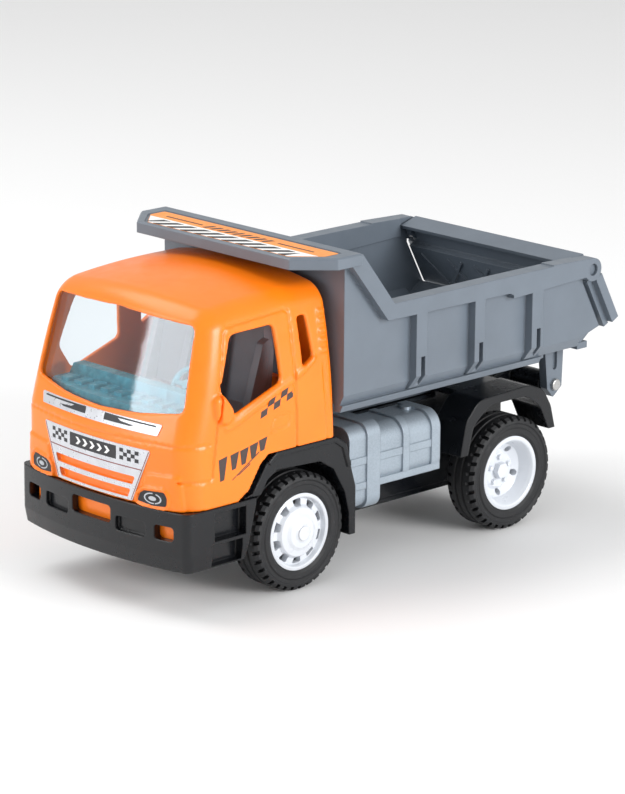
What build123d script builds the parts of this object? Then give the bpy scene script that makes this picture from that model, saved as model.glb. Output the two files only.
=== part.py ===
from build123d import *

import math
import os

# Toy dump truck with a friction motor, in millimetres.
# Frame: +Z up, the truck faces -Y, its left side is +X, the wheels stand on z = 0
# and x = 0, y = 0 is the middle of the outline seen from above.

# ---------------------------------------------------------------- driving sizes
CLEAR = 0.3                 # air between pieces that move past each other
RUN = 0.05                  # radial clearance of a shaft in its hole

TYRE_R = 18.0
TYRE_IN_X, TYRE_OUT_X = 24.5, 36.0
RIM_R = 11.8
AXLE_R = 1.25
FRONT_AXLE = (-40.9, 18.0)  # (y, z)
REAR_AXLE = (50.0, 18.0)

CAB_HALF = 37.0
CAB_FRONT, CAB_REAR = -90.8, -28.0
CAB_BOTTOM, CAB_BROW = 33.0, 52.0
CAB_WALL = 1.6
FACE_R = 145.0              # plan radius of the cab's front face and of the bumper
FACE_CORNER_R = 6.5
WINDSHIELD_LEAN = 0.27      # millimetres back for each millimetre up
ROOF_FRONT_R = 3.0

BUMPER_HALF = 37.4
BUMPER_FRONT = -91.8
BUMPER_WALL = 2.4
BUMPER_BOTTOM, BUMPER_CREASE, BUMPER_TOP = 15.0, 19.5, 32.9

FENDER_IN_X, FENDER_OUT_X = 24.0, 36.5

CHASSIS_HALF = 14.0
CHASSIS_WALL = 2.0
CHASSIS_BOTTOM = 12.0
DECK_Z0, DECK_Z1 = 38.5, 40.7

BED_RIM_X = 42.5
BED_WALL_X = 39.6
BED_WALL = 1.8
BED_FLOOR_Z0, BED_FLOOR_Z1 = 54.7, 57.0
BED_FRONT_Y = -27.3
RIM_Z0, RIM_Z1 = 78.4, 84.0
CANOPY_Z0, CANOPY_Z1 = 97.7, 101.2
TILT_PIN = (75.4, 41.0)     # (y, z) of the bed's hinge pin
TILT_PIN_R = 1.3
TAIL_HINGE = (78.5, 79.9)   # (y, z) of the tailgate's pegs
TAIL_PEG_R = 1.85
EAR_R = 3.7

GEAR_MODULE = 0.5
BIG_TEETH, SMALL_TEETH = 16, 10
GEAR_CENTRES = GEAR_MODULE * (BIG_TEETH + SMALL_TEETH) / 2
IDLER_ANGLE, FLYWHEEL_ANGLE = 160.0, 150.0   # direction of each next shaft, degrees from +Y
SHAFT_R = 0.75
MOTOR_HALF = 9.0
MOTOR_WALL = 1.2


# ---------------------------------------------------------------- outline helpers
def polygon(points, radius=0.0):
    """Flat outline through the points, with all corners rounded when a radius is given."""
    face = Polygon(*points, align=None)
    return fillet(face.vertices(), radius) if radius else face


def side_solid(face, x0, x1):
    """Solid between x0 and x1 from an outline drawn as (y, z)."""
    return extrude(Plane.YZ.offset(x0) * face, x1 - x0, dir=(1, 0, 0))


def front_solid(face, y0, y1):
    """Solid between y0 and y1 from an outline drawn as (x, z)."""
    plane = Plane((0, y0, 0), x_dir=(1, 0, 0), z_dir=(0, -1, 0))
    return extrude(plane * face, y1 - y0, dir=(0, 1, 0))


def plan_solid(face, z0, z1):
    """Solid between z0 and z1 from an outline drawn as (x, y)."""
    return extrude(Plane.XY.offset(z0) * face, z1 - z0, dir=(0, 0, 1))


def block(x0, x1, y0, y1, z0, z1):
    """Box between two corners."""
    return Pos(x0, y0, z0) * Box(x1 - x0, y1 - y0, z1 - z0, align=(Align.MIN,) * 3)


def rod(centre, radius, x0, x1):
    """Cylinder along X round the point centre = (y, z)."""
    return side_solid(Pos(*centre) * Circle(radius), x0, x1)


def turned(points):
    """Body of revolution round the X axis, from a section drawn as (x, radius)."""
    return revolve(Plane.XY * Polygon(*points, align=None), Axis.X)


def mirrored(solid):
    """The same shape on the other side of the truck."""
    return mirror(solid, Plane.YZ)


def both_sides(solid):
    """The shape and its mirror image, joined."""
    return solid + mirrored(solid)


def polar(centre, distance, degrees):
    """Point (y, z) at a distance and direction from the centre."""
    angle = math.radians(degrees)
    return (centre[0] + distance * math.cos(angle), centre[1] + distance * math.sin(angle))


def nose_plan(half, front, rear, radius, corner):
    """Plan outline with a gently curved front, rounded front corners and a straight rear."""
    drop = radius - math.sqrt(radius ** 2 - half ** 2)
    left, right = (-half, front + drop), (half, front + drop)
    arc = ThreePointArc(left, (0, front), right)
    face = make_face(arc + Polyline(right, (half, rear), (-half, rear), left))
    return fillet(face.vertices().sort_by(Axis.Y)[:2], corner)


# ---------------------------------------------------------------- cab
def face_plan(inset):
    """Plan outline of the cab with its rounded front corners, drawn in by inset."""
    return nose_plan(CAB_HALF - inset, CAB_FRONT + inset, CAB_REAR + 10, FACE_R - inset, FACE_CORNER_R - inset)


def leaning_nose(inset):
    """Part of the cab above the brow: its plan carried up and back along the windshield."""
    lean = Vector(0, WINDSHIELD_LEAN, 1)
    return extrude(Plane.XY.offset(CAB_BROW) * face_plan(inset), 45 * lean.length, dir=lean)


def cab_form(inset, bottom):
    """Outer form of the cab, drawn in by inset on every side and open to the given bottom."""
    lower = plan_solid(face_plan(inset), bottom, CAB_BROW)
    upper = leaning_nose(inset)
    roof = ThreePointArc((-100, 89.0 - inset), (-62, 94.2 - inset), (-32, 94.2 - inset))
    rear = Polyline((-32, 94.2 - inset), (-30.3 - inset, 92.5 - inset), (-29.5 - inset, 73),
                    (CAB_REAR - inset, 45), (CAB_REAR - inset, bottom), (-100, bottom),
                    (-100, 89.0 - inset))
    side_view = make_face(roof + rear)
    crown = ThreePointArc((-33.2 + inset, 90.5 - inset), (0, 95.4 - inset), (33.2 - inset, 90.5 - inset))
    right = ThreePointArc((33.2 - inset, 90.5 - inset), (36.1 - inset, 73), (CAB_HALF - inset, 56))
    left = ThreePointArc((-33.2 + inset, 90.5 - inset), (-36.1 + inset, 73), (-CAB_HALF + inset, 56))
    base = Polyline((CAB_HALF - inset, 56), (CAB_HALF - inset, bottom), (-CAB_HALF + inset, bottom),
                    (-CAB_HALF + inset, 56))
    front_view = make_face(crown + right + left + base)
    front_view = fillet(front_view.vertices().sort_by(Axis.Z)[-2:], 5.5 - inset)
    form = lower + upper
    form &= side_solid(side_view, -50, 50)
    form &= front_solid(front_view, -110, 0)
    if inset > 0.45:
        return form             # the cavity keeps its plain edge; only the outside is rounded
    roof_front = [edge for edge in form.edges() if edge.center().Z > 85 and edge.center().Y < -70]
    return fillet(roof_front, ROOF_FRONT_R - inset)


SIDE_WINDOW = [(-68.3, 82.5), (-51.4, 83.0), (-49.4, 65.6), (-67.8, 59.2), (-73.4, 67.2)]
QUARTER_SLOT = [(-41.8, 83.6), (-38.5, 83.8), (-36.6, 70.5), (-40.8, 68.4)]
WHEEL_ARCH = [(-66.2, 30), (-66.2, 33.3), (-62.8, 35.6), (-58.2, 42.6), (-55.0, 45.0), (-20, 45.0), (-20, 30)]
GRILLE_SLOTS = [(34.4, 37.0), (38.5, 41.0)]   # (bottom, top) of the two slots in the face
GRILLE_SIDE = 0.43                            # sideways millimetres for each millimetre up


def windshield_outline(margin):
    """Windshield outline (x, z) with a sagging lower edge and a crowned upper edge, grown by margin."""
    low, high = 61.5 - margin, 85.8 + margin
    foot, head = 32.0 + margin, 29.9 + margin
    bottom = ThreePointArc((-foot, low), (0, low - 3.0), (foot, low))
    top = ThreePointArc((head, high), (0, high + 1.4), (-head, high))
    sides = Line((foot, low), (head, high)) + Line((-head, high), (-foot, low))
    face = make_face(bottom + top + sides)
    return fillet(face.vertices(), 2.5)


def grille_half(z):
    """Half width of the radiator grille at height z."""
    return 16.6 + GRILLE_SIDE * (z - 33.6)


def grille_slots(margin, y0, y1):
    """The two slots of the grille, drawn in by margin."""
    slots = []
    for z0, z1 in GRILLE_SLOTS:
        low, high = grille_half(z0) - 2.0 - margin, grille_half(z1) - 2.0 - margin
        outline = [(-low, z0 + margin), (low, z0 + margin), (high, z1 - margin), (-high, z1 - margin)]
        slots.append(front_solid(polygon(outline, 0.5), y0, y1))
    return slots


def groove(points, width, x0, x1):
    """Narrow slot that follows a line drawn as (y, z), for a door seam."""
    cuts = []
    for (y0, z0), (y1, z1) in zip(points, points[1:]):
        length = math.hypot(y1 - y0, z1 - z0)
        turn = math.degrees(math.atan2(z1 - z0, y1 - y0))
        strip = Pos((y0 + y1) / 2, (z0 + z1) / 2) * Rot(0, 0, turn) * Rectangle(length + width, width)
        cuts.append(side_solid(strip, x0, x1))
    return cuts


def cab_shell():
    """Orange body shell: one moulding, open below, with its window openings."""
    shell = cab_form(0, CAB_BOTTOM)
    for pad in [mirror_lug()] + belt_ridge():
        shell += pad
        shell += mirrored(pad)
    shell -= cab_form(CAB_WALL, CAB_BOTTOM - 1)
    ledge_plan = nose_plan(CAB_HALF - 1.0, CAB_FRONT + 0.8, -76, FACE_R - 0.8, FACE_CORNER_R - 1.0)
    apron_plan = nose_plan(31.0, BUMPER_FRONT + 2.8, -76, FACE_R - 2.8, 3.0)
    apron_hole = nose_plan(29.4, BUMPER_FRONT + 4.4, -70, FACE_R - 4.4, 2.0)
    apron = plan_solid(apron_plan, 22.0, CAB_BOTTOM + 1.5)
    apron += plan_solid(ledge_plan, CAB_BOTTOM, CAB_BOTTOM + 1.5)
    shell += apron - plan_solid(apron_hole, 21.0, 40.0)
    shell -= front_solid(windshield_outline(0), -100, -70)
    shell -= side_solid(polygon(SIDE_WINDOW, 1.6), -50, 50)
    shell -= side_solid(polygon(QUARTER_SLOT, 1.2), -50, 50)
    shell -= side_solid(polygon(WHEEL_ARCH), -50, 50)
    for panel in (lamp_panel(), mirrored(lamp_panel())):
        shell += panel
    for slot in grille_slots(0, CAB_FRONT - 1, CAB_FRONT + 2.6):
        shell -= slot - cab_form(0.8, CAB_BOTTOM - 1)
    shell -= skin(0.4) & block(-50, 50, -100, -78, 51.2, 51.7)
    rear_window = [(-20, 60), (20, 60), (20, 80), (-20, 80)]
    shell -= front_solid(polygon(rear_window, 2.0), -33, -25)
    for cut in cab_side_cuts():
        shell -= cut
        shell -= mirrored(cut)
    return shell


def skin(depth, lift=0.0):
    """Layer of the cab's outer form, from lift above its surface to depth below."""
    return cab_form(-lift, CAB_BOTTOM) - cab_form(depth, CAB_BOTTOM - 1)


LAMP_OUTLINE = [(19.2, 34.4), (19.7, 36.5), (21.6, 37.8), (28.8, 38.3), (29.9, 36.6), (29.6, 34.2), (24.8, 33.7)]
LAMP_PANEL_LIFT = 0.6


def lamp_panel():
    """Raised field beside the grille, with a lip that frames the left headlamp."""
    field = polygon([(17.6, CAB_BOTTOM), (21.6, 42.4), (22.2, 42.9), (33.0, 43.6), (33.7, 43.0), (34.8, CAB_BOTTOM)])
    panel = skin(0.4, LAMP_PANEL_LIFT) & front_solid(field, -100, -80)
    lip = offset(polygon(LAMP_OUTLINE, 0.7), 1.0)
    panel += skin(0.4, LAMP_PANEL_LIFT + 0.5) & front_solid(lip - polygon(LAMP_OUTLINE, 0.7), -100, -80)
    return panel


def mirror_lug():
    """Stub at the left window's lower front corner that stands for the wing mirror."""
    outline = [(-77.0, 66.0), (-72.0, 65.4), (-69.0, 61.2), (-70.5, 57.6), (-75.2, 57.2)]
    return side_solid(polygon(outline, 1.2), 34.5, 38.4)


def belt_ridge():
    """Raised moulding that climbs rearwards under the left window."""
    line = [(-71.6, 56.0), (-67.6, 57.0), (-49.6, 64.2), (-44.4, 66.0), (-36.6, 70.4)]
    strips = groove(line, 1.7, 30, 45)
    return [skin(0.4, 0.45) & strip for strip in strips]


def cab_side_cuts():
    """Door seams, sill crease, handle recess and rear vents of the left side."""
    layer = skin(0.45)
    left = block(28, 50, -89, -20, 30, 100)
    seams = groove([(-71.5, 84.6), (-77.2, 42.1)], 0.5, 25, 45)
    seams += groove([(-71.5, 84.6), (-44.2, 86.2), (-43.5, 45.2)], 0.5, 25, 45)
    seams += groove([(-86.6, 41.6), (-77.6, 41.4)], 0.4, 34, 45)
    seams += groove([(-32.7, 68.4), (-31.2, 44.8)], 0.4, 25, 45)
    seams += [side_solid(polygon([(-53.8, 51.2), (-46.4, 53.0), (-46.2, 56.4), (-52.6, 55.6)], 0.8), 25, 45)]
    cuts = [layer & seam & left for seam in seams]
    vents = []
    for index in range(5):
        z = 71.6 + 2.8 * index
        vents.append(block(33.0, 38, -33.4, -30.8, z, z + 1.3))
    return cuts + vents


def windshield():
    """Clear glazing that lies inside the shell, behind the opening."""
    pane = leaning_nose(CAB_WALL + 0.05) - leaning_nose(CAB_WALL + 1.05)
    return pane & front_solid(windshield_outline(0.8), -100, -72)


def dashboard():
    """Clear blue instrument shelf below the windshield, with its relief and steering wheel."""
    plan = nose_plan(30.0, CAB_FRONT + 5.5, -70.0, FACE_R - 5.5, 4.0)
    shelf = plan_solid(plan, 57.5, 60.0)
    shelf += front_solid(polygon([(-30, 60), (30, 60), (28, 63.4), (-28, 63.4)]), -74.0, -70.0)
    for index in range(9):
        x = -24 + 6 * index
        shelf += block(x - 1.6, x + 1.6, -81.0, -76.0, 60.0, 61.0)
    for x in (-24, 0, 24):
        shelf += block(x - 1.5, x + 1.5, -74, -71, 50.0, 57.5)
    tilt = Pos(14, -66.5, 63.5) * Rot(55, 0, 0)
    wheel = tilt * (Torus(5.2, 0.8) + Cylinder(1.4, 1.2) + Box(9.8, 1.4, 1.0))
    column = tilt * Pos(0, 0, -2.6) * Cylinder(0.9, 4.4)
    return shelf + wheel + column


def seats():
    """Grey seat moulding: a bench base with two bolstered bucket backs."""
    base = block(-31, 31, -62, -38, 47.0, 50.0)
    for x in (-15, 15):
        cushion = Pos(x, -52, 52.5) * Box(21, 18, 5)
        cushion = fillet(cushion.edges().filter_by(Axis.Z), 3.0)
        back_side = polygon([(-48.0, 50), (-43.2, 50), (-38.2, 81.0), (-41.6, 82.0)], 0.9)
        back = side_solid(back_side, x - 9.5, x + 9.5)
        back &= front_solid(polygon([(x - 9.5, 50), (x + 9.5, 50), (x + 8.0, 70), (x + 5.5, 81.5),
                                     (x - 5.5, 81.5), (x - 8.0, 70)], 2.0), -60, -30)
        bolster_side = polygon([(-51.5, 55), (-46.0, 52), (-41.5, 76.0), (-45.5, 74.0)], 1.2)
        bolsters = [side_solid(bolster_side, x + s * 7.9 - 1.4, x + s * 7.9 + 1.4) for s in (-1, 1)]
        base += cushion + back + bolsters[0] + bolsters[1]
    legs = [block(s * 9 - 2, s * 9 + 2, -52, -46, 30.0, 47.0) for s in (-1, 1)]
    return base + legs[0] + legs[1]


# ---------------------------------------------------------------- front stickers and lamps
def on_face(outline, lift=0.25, base=0.0):
    """Thin foil that follows the cab's face inside an outline drawn as (x, z), from base to lift above it."""
    return cab_form(-lift, CAB_BOTTOM) - cab_form(-base, CAB_BOTTOM - 1) & front_solid(outline, -100, -80)


def grille_sticker():
    """Silver grille foil with windows over the two slots."""
    low, high = grille_half(33.6), grille_half(49.7)
    foil = on_face(polygon([(-low, 33.6), (low, 33.6), (high, 49.7), (-high, 49.7)], 0.6))
    for slot in grille_slots(0, CAB_FRONT - 3, CAB_FRONT + 3):
        foil -= slot
    return foil


def nose_sticker():
    """Silver strip under the windshield."""
    return on_face(polygon([(-25.4, 54.4), (25.4, 54.4), (26.5, 57.7), (-26.5, 57.7)], 0.5))


def headlight():
    """Left headlamp: a black almond-shaped lens with a raised oval ring."""
    lens = offset(polygon(LAMP_OUTLINE, 0.7), -0.08)
    ring = Pos(24.8, 35.9) * (Ellipse(3.0, 1.75) - Ellipse(2.1, 1.0))
    lamp = on_face(lens, LAMP_PANEL_LIFT + 0.3, LAMP_PANEL_LIFT)
    return lamp + on_face(ring, LAMP_PANEL_LIFT + 0.6, LAMP_PANEL_LIFT)


# ---------------------------------------------------------------- bumper and fenders
BUMPER_OPENINGS = [(0.0, 8.6, 25.2, 30.5, True), (16.4, 5.8, 23.7, 28.2, False),
                   (28.9, 3.5, 24.0, 28.4, True)]   # (x, half width, bottom, top, right through)
STEP_RECESSES = [(-76.6, -64.2, 22.9, 31.4), (-77.3, -65.5, 15.4, 21.9)]      # (y0, y1, z0, z1)


def front_bumper():
    """Black bumper with side steps: five front openings and two recessed treads a side."""
    def plan(inset):
        return nose_plan(BUMPER_HALF - inset, BUMPER_FRONT + inset, -59, FACE_R - inset, 3.0 - inset / 2)

    outer = plan_solid(plan(0), BUMPER_CREASE, BUMPER_TOP)
    outer += extrude(Plane.XY.offset(BUMPER_CREASE) * plan(0), BUMPER_BOTTOM - BUMPER_CREASE, taper=10)
    hollow_plan = nose_plan(BUMPER_HALF - 6.0, BUMPER_FRONT + BUMPER_WALL, -50, FACE_R - BUMPER_WALL, 2.0)
    bumper = outer - plan_solid(hollow_plan, BUMPER_BOTTOM - 5, BUMPER_TOP + 5)
    shallow = outer - plan_solid(plan(1.4), BUMPER_BOTTOM - 1, BUMPER_TOP + 1)
    for x, half, z0, z1, through in BUMPER_OPENINGS:
        outline = [(x - half, z0), (x + half, z0), (x + half, z1), (x - half, z1)]
        window = front_solid(polygon(outline, 1.2), -100, -80)
        cut = window if through else shallow & window
        bumper -= cut
        bumper -= mirrored(cut)
    for y0, y1, z0, z1 in STEP_RECESSES:
        bumper -= both_sides(block(34.2, 50, y0, y1, z0, z1))
    rear_cut = polygon([(-60.3, 35), (-60.3, 31.3), (-64.8, 13.0), (-40, 13.0), (-40, 35)])
    return bumper - side_solid(rear_cut, -50, 50)


def front_fender():
    """Left front wheel arch with its mudflap."""
    outer = [(-64.4, 33.1), (-60.9, 34.0), (-55.0, 42.4), (-51.6, 44.9), (-27.4, 44.9), (-23.2, 42.0),
             (-18.9, 28.0), (-18.9, 13.2), (-21.3, 13.2), (-21.4, 20.0), (-23.2, 27.0), (-28.0, 35.1),
             (-33.7, 38.6), (-51.0, 39.4), (-55.0, 37.2), (-57.6, 33.1)]
    arch = side_solid(polygon(outer), FENDER_IN_X + 0.2, FENDER_OUT_X)
    lip = polygon([(-55.0, 42.4), (-51.6, 44.9), (-27.4, 44.9), (-23.2, 42.0), (-21.2, 35.0), (-22.4, 34.6),
                   (-24.6, 41.0), (-28.0, 43.4), (-51.0, 43.4), (-54.0, 41.4)])
    return arch + side_solid(lip, FENDER_OUT_X - 0.4, FENDER_OUT_X + 0.5)


def rear_fender():
    """Left rear wheel arch, a round-shouldered hoop cut off level at both feet."""
    outer = polygon([(22.6, 10), (28.7, 38.7), (34.2, 44.6), (56.9, 45.4), (63.3, 42.9), (66.9, 37.0), (74.2, 10)], 7.0)
    inner = polygon([(25.3, 10), (32.0, 37.1), (39.4, 42.2), (55.6, 42.2), (62.0, 37.6), (76.1, 10)], 7.0)
    feet = polygon([(20, 27.8), (48, 27.8), (50, 29.6), (80, 29.6), (80, 50), (20, 50)])
    return side_solid((outer - inner) & feet, FENDER_IN_X, FENDER_OUT_X)


# ---------------------------------------------------------------- tanks
TANK_OUT_X, TANK_IN_X = 33.4, 19.0


def tank_body(y0, y1, z0, z1, corner):
    """Box tank with rounded outer edges and softened ends."""
    section = Rectangle(TANK_OUT_X - TANK_IN_X, z1 - z0)
    section = fillet(section.vertices().sort_by(Axis.X)[-2:], corner)
    centre = Pos((TANK_OUT_X + TANK_IN_X) / 2, (z0 + z1) / 2)
    return front_solid(centre * section, y0, y1)


def tank_set():
    """Left air tank and fuel tank: one silver moulding with straps, ribs and end nuts."""
    tall, fuel = (18.8, 44.6), (23.9, 43.2)
    body = tank_body(-18.5, -5.6, *tall, 4.0) + tank_body(-5.7, 20.0, *fuel, 5.5)
    for y0, y1, (z0, z1), corner in ((-11.6, -6.1, tall, 4.0), (3.7, 6.5, fuel, 5.5), (16.1, 19.7, fuel, 5.5)):
        section = Pos(0.35, 0) * Rectangle(TANK_OUT_X - TANK_IN_X + 0.7, z1 - z0 + 1.2)
        section = fillet(section.vertices().sort_by(Axis.X)[-2:], corner)
        body += front_solid(Pos((TANK_OUT_X + TANK_IN_X) / 2, (z0 + z1) / 2) * section, y0, y1)
    for z0, z1 in ((25.1, 27.3), (32.8, 35.2)):
        body += block(TANK_OUT_X - 3, TANK_OUT_X + 0.4, -18.2, 19.9, z0, z1)
        nut = Pos(TANK_OUT_X - 2.4, (z0 + z1) / 2) * RegularPolygon(1.5, 6)
        body += front_solid(nut, 19.9, 21.3)
    filler = Pos(24, 14.6, fuel[1]) * Cylinder(1.7, 1.6)
    return body + filler + block(CHASSIS_HALF, TANK_IN_X, 2, 9, 28, 33) + block(CHASSIS_HALF, TANK_IN_X, -15, -9, 28, 33)


# ---------------------------------------------------------------- chassis
def chassis_frame():
    """Black ladder moulding: side walls, deck, cab floor, fender arms and the hinge tube."""
    inner = CHASSIS_HALF - CHASSIS_WALL
    wall_outline = [(-72, CHASSIS_BOTTOM), (68, CHASSIS_BOTTOM), (68, DECK_Z1), (-30, DECK_Z1), (-34, 30), (-72, 30)]
    frame = both_sides(side_solid(polygon(wall_outline, 0.8), inner, CHASSIS_HALF))
    frame += block(-inner, inner, -30, 68, DECK_Z0, DECK_Z1)
    frame += block(-inner, inner, -72, -32, 28, 30)
    frame += block(-inner, inner, -72, -70, CHASSIS_BOTTOM, 28)
    frame += block(-inner, inner, 66, 68, CHASSIS_BOTTOM, DECK_Z0)
    frame += both_sides(block(CHASSIS_HALF, FENDER_IN_X, 38, 58, 42.4, 44.4))
    frame += both_sides(block(inner, CHASSIS_HALF, 38, 58, DECK_Z1, 44.4))
    frame += both_sides(block(CHASSIS_HALF, FENDER_IN_X + 0.2, -50, -32, 39.6, 41.4))
    frame += both_sides(block(inner, CHASSIS_HALF, -50, -28, 30, 41.4))
    frame += both_sides(block(CHASSIS_HALF, 31.0, -70, -64, 27.0, 30.0))
    arm = polygon([(60, DECK_Z0), (68, DECK_Z0 - 4), (TILT_PIN[0] + 2.4, TILT_PIN[1] - 3.2),
                   (TILT_PIN[0], TILT_PIN[1] + 3.4), (64, DECK_Z1)])
    frame += both_sides(side_solid(arm, inner, CHASSIS_HALF))
    frame += rod(TILT_PIN, 3.6, -26.4, 26.4)
    frame -= rod(TILT_PIN, TILT_PIN_R + RUN, -30, 30)
    for axle in (FRONT_AXLE, REAR_AXLE):
        frame -= rod(axle, AXLE_R + RUN, -30, 30)
    return frame


def base_plate():
    """Bottom cover with stiffening ribs, closed by four screws."""
    plate = plan_solid(RectangleRounded(2 * CHASSIS_HALF, 138, 2), CHASSIS_BOTTOM - 1.5, CHASSIS_BOTTOM)
    plate = Pos(0, -2, 0) * plate
    for y in (-28, -16, -4, 8):
        plate += block(-11.8, 11.8, y - 0.6, y + 0.6, CHASSIS_BOTTOM, CHASSIS_BOTTOM + 2)
    for x, y in SCREW_SPOTS:
        plate += Pos(x, y, CHASSIS_BOTTOM + 2.5) * Cylinder(2.2, 5)
        plate -= Pos(x, y, CHASSIS_BOTTOM) * Cylinder(1.0, 20)
        plate -= Pos(x, y, CHASSIS_BOTTOM - 1.5) * Cylinder(1.8, 1.8)
    return plate


SCREW_SPOTS = [(x, y) for y in (-56, 18) for x in (-7.5, 7.5)]


def base_screws():
    """Four self-tapping screws in the base plate, seen here without threads."""
    screws = []
    for x, y in SCREW_SPOTS:
        head = Pos(x, y, CHASSIS_BOTTOM - 1.0) * Cylinder(1.7, 0.8)
        head -= Pos(x, y, CHASSIS_BOTTOM - 1.4) * (Box(2.4, 0.5, 0.6) + Box(0.5, 2.4, 0.6))
        shank = Pos(x, y, CHASSIS_BOTTOM + 1.9) * Cylinder(0.95, 5.0)
        screws.append(head + shank)
    return screws


# ---------------------------------------------------------------- wheels
def tyre():
    """Left tyre at the origin: ribbed tread with lugs that notch both shoulders."""
    mid = (TYRE_IN_X + TYRE_OUT_X) / 2
    half = (TYRE_OUT_X - TYRE_IN_X) / 2
    right = [(half - 2.2, RIM_R), (half - 0.7, RIM_R), (half - 0.1, RIM_R + 0.9), (half, 14.2), (half - 0.35, 14.6),
             (half - 0.35, 15.6), (half, 16.0), (half - 0.3, 17.2), (half - 1.2, TYRE_R)]
    left = [(-x, r) for x, r in reversed(right)]
    section = [(mid + x, r) for x, r in right + [(1.9, TYRE_R), (1.6, 17.3), (1.1, 17.3), (0.8, TYRE_R)]]
    section += [(mid + x, r) for x, r in [(-0.8, TYRE_R), (-1.1, 17.3), (-1.6, 17.3), (-1.9, TYRE_R)] + left]
    ring = turned(section)
    lugs = 36
    notches = []
    for index in range(lugs):
        spin = Rot(360.0 / lugs * index, 0, 0)
        for side, phase in ((1, 0.0), (-1, 0.5)):
            notch = Pos(mid + side * (half - 0.9), 0, TYRE_R) * Rot(0, 0, 14 * side) * Box(3.6, 1.15, 2.6)
            notches.append(Rot(360.0 / lugs * phase, 0, 0) * spin * notch)
    return ring - notches


def front_rim():
    """Left front rim at the origin: a domed disc with ten windows and a stepped hub cap."""
    lip = TYRE_OUT_X - 0.6
    section = [(TYRE_IN_X + 0.6, AXLE_R), (37.3, AXLE_R), (37.3, 2.2), (36.9, 3.0), (36.7, 4.6), (36.1, 5.6),
               (35.6, 7.4), (34.4, 8.2), (33.9, 10.2), (lip, 10.6), (lip + 0.3, 11.0), (lip, RIM_R),
               (TYRE_IN_X + 0.8, RIM_R), (TYRE_IN_X + 0.8, 10.4), (32.0, 10.0), (32.4, 4.0),
               (TYRE_IN_X + 0.6, 3.0)]
    rim = turned(section)
    rim += rod((0, 0), 2.2, 36.5, 37.6)
    windows = []
    for index in range(10):
        window = polygon([(-1.15, 7.7), (1.15, 7.7), (1.75, 9.9), (-1.75, 9.9)], 0.5)
        windows.append(Rot(36.0 * index, 0, 0) * side_solid(window, 31, 37))
    return rim - windows - rod((0, 0), AXLE_R, 20, 36.2)


def rear_rim():
    """Left rear rim at the origin: a deep dish with a nut ring and a hexagonal hub."""
    lip = TYRE_OUT_X - 0.6
    section = [(TYRE_IN_X + 0.6, AXLE_R), (30.4, AXLE_R), (30.4, 5.4), (29.6, 6.4), (31.0, 8.6), (34.4, 9.8),
               (lip, 10.3), (lip + 0.3, 10.8), (lip, RIM_R), (TYRE_IN_X + 0.8, RIM_R),
               (TYRE_IN_X + 0.8, 10.4), (27.4, 9.4), (27.6, 3.4), (TYRE_IN_X + 0.6, 3.0)]
    rim = turned(section)
    rim += side_solid(RegularPolygon(2.6, 6), 30.0, 32.4)
    for index in range(5):
        rim += rod(polar((0, 0), 4.2, 72.0 * index + 90), 0.8, 30.0, 31.4)
        rim -= rod(polar((0, 0), 7.3, 72.0 * index + 54), 1.0, 26, 34)
    return rim - rod((0, 0), AXLE_R, 20, 31.2)


def placed(wheel_part, axle, side):
    """A left wheel part moved to its axle, and mirrored for the right side."""
    solid = Pos(0, *axle) * wheel_part
    return solid if side == "left" else mirrored(solid)


# ---------------------------------------------------------------- friction motor
IDLER = polar(REAR_AXLE, GEAR_CENTRES, IDLER_ANGLE)
FLYWHEEL = polar(IDLER, GEAR_CENTRES, FLYWHEEL_ANGLE)
FLYWHEEL_R = 8.0


def gear(teeth, centre, phase, x0, x1):
    """Spur gear with involute flanks; one tooth points in the direction phase, in degrees."""
    pitch_r = GEAR_MODULE * teeth / 2
    base_r = pitch_r * math.cos(math.radians(20))
    root_r, tip_r = pitch_r - 1.2 * GEAR_MODULE, pitch_r + 0.85 * GEAR_MODULE
    backlash = 0.05 / pitch_r

    def involute(radius):
        cosine = min(1.0, base_r / radius)
        return math.tan(math.acos(cosine)) - math.acos(cosine)

    def half_angle(radius):
        return math.pi / (2 * teeth) - backlash + involute(pitch_r) - involute(radius)

    radii = [root_r, max(base_r, root_r + 0.05), pitch_r, (pitch_r + tip_r) / 2, tip_r]
    points = []
    for tooth in range(teeth):
        middle = math.radians(phase) + 2 * math.pi * tooth / teeth
        flank = [(radius, half_angle(radius)) for radius in radii]
        for radius, half in flank:
            points.append((radius * math.cos(middle - half), radius * math.sin(middle - half)))
        for radius, half in reversed(flank):
            points.append((radius * math.cos(middle + half), radius * math.sin(middle + half)))
    return side_solid(Pos(*centre) * Polygon(*points, align=None), x0, x1)


def axle_gear():
    """Gear pressed on the rear axle."""
    return gear(BIG_TEETH, REAR_AXLE, IDLER_ANGLE, 1.0, 3.0) - rod(REAR_AXLE, AXLE_R, 0, 9)


def idler_gear():
    """Compound idler: small gear on the axle gear, large gear on the flywheel pinion."""
    small = gear(SMALL_TEETH, IDLER, IDLER_ANGLE + 180 + 180 / SMALL_TEETH, 0.8, 3.6)
    large = gear(BIG_TEETH, IDLER, FLYWHEEL_ANGLE, 3.6, 5.6)
    return small + large - rod(IDLER, SHAFT_R + RUN, 0, 9)


def idler_pin():
    """Steel pin fixed in the right half of the motor case."""
    return rod(IDLER, SHAFT_R, 0.4, MOTOR_HALF)


def flywheel():
    """Steel flywheel on its shaft, with the plastic pinion it drives."""
    disc = rod(FLYWHEEL, FLYWHEEL_R, -6.8, -1.0) - rod(FLYWHEEL, 5.6, -7.0, -5.4) + rod(FLYWHEEL, 2.2, -6.8, -5.4)
    shaft = rod(FLYWHEEL, SHAFT_R, -MOTOR_HALF, MOTOR_HALF)
    pinion = gear(SMALL_TEETH, FLYWHEEL, FLYWHEEL_ANGLE + 180 + 180 / SMALL_TEETH, 3.3, 5.9)
    return disc + shaft + pinion + rod(FLYWHEEL, 1.6, -1.0, 3.3)


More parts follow.
